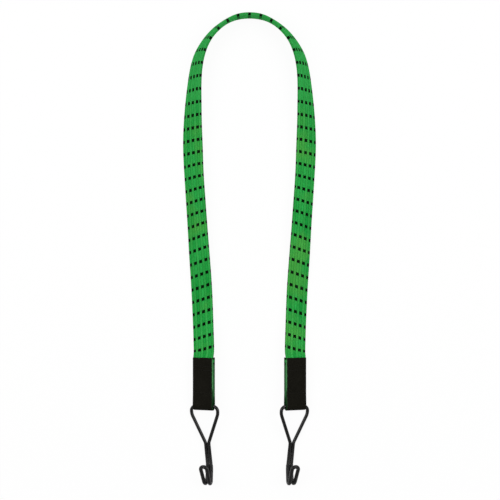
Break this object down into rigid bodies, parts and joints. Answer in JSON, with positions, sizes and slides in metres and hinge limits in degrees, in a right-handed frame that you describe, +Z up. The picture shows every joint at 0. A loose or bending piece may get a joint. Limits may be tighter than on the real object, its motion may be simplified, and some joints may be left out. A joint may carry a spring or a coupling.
{
  "type": "flat bungee strap",
  "caption": "Flat woven elastic strap, bent in a hairpin, with a taped sewn fold and a double-wire hook swinging at each end, for tying down loads.",
  "frame": {"origin": "on the table under the middle of the bounding box", "axes": "+Y from the hooks to the arch of the strap, +Z up from the table, X = 0 is the mirror plane between the legs"},
  "size_m": [0.1328, 0.4692, 0.0212],
  "materials": {
    "green_webbing": "woven, matte, green with black dots",
    "rubber": "cut latex thread, matte",
    "black_tape": "woven, matte",
    "black_wire": "satin black coat on steel"
  },
  "bodies": {
    "strap": {"strap_sleeve": "green_webbing", "rubber_strand_1": "rubber", "rubber_strand_2": "rubber", "rubber_strand_3": "rubber", "rubber_strand_4": "rubber", "rubber_strand_5": "rubber", "rubber_strand_6": "rubber", "rubber_strand_7": "rubber"},
    "left_end": {"left_tab_tape": "black_tape"},
    "right_end": {"right_tab_tape": "black_tape"},
    "left_hook": {"left_hook_wire": "black_wire"},
    "right_hook": {"right_hook_wire": "black_wire"}
  },
  "joints": [
    {"name": "left_stretch", "type": "slide", "parent": "strap", "child": "left_end", "axis": [0, -1, 0], "range_m": [0, 0.2], "stiffness_N_per_m": 400, "deforming": ["strap_sleeve", "rubber_strand_1", "rubber_strand_2", "rubber_strand_3", "rubber_strand_4", "rubber_strand_5", "rubber_strand_6", "rubber_strand_7"]},
    {"name": "right_stretch", "type": "slide", "parent": "strap", "child": "right_end", "axis": [0, -1, 0], "range_m": [0, 0.2], "stiffness_N_per_m": 400, "deforming": ["strap_sleeve", "rubber_strand_1", "rubber_strand_2", "rubber_strand_3", "rubber_strand_4", "rubber_strand_5", "rubber_strand_6", "rubber_strand_7"]},
    {"name": "left_hook_swing", "type": "hinge", "parent": "left_end", "child": "left_hook", "pos_m": [-0.0454, -0.15552, 0.00803], "axis": [-0.9272, 0, -0.3746], "range_deg": [-140, 150]},
    {"name": "right_hook_swing", "type": "hinge", "parent": "right_end", "child": "right_hook", "pos_m": [0.0454, -0.15552, 0.00803], "axis": [-0.9272, 0, 0.3746], "range_deg": [-140, 150]}
  ]
}
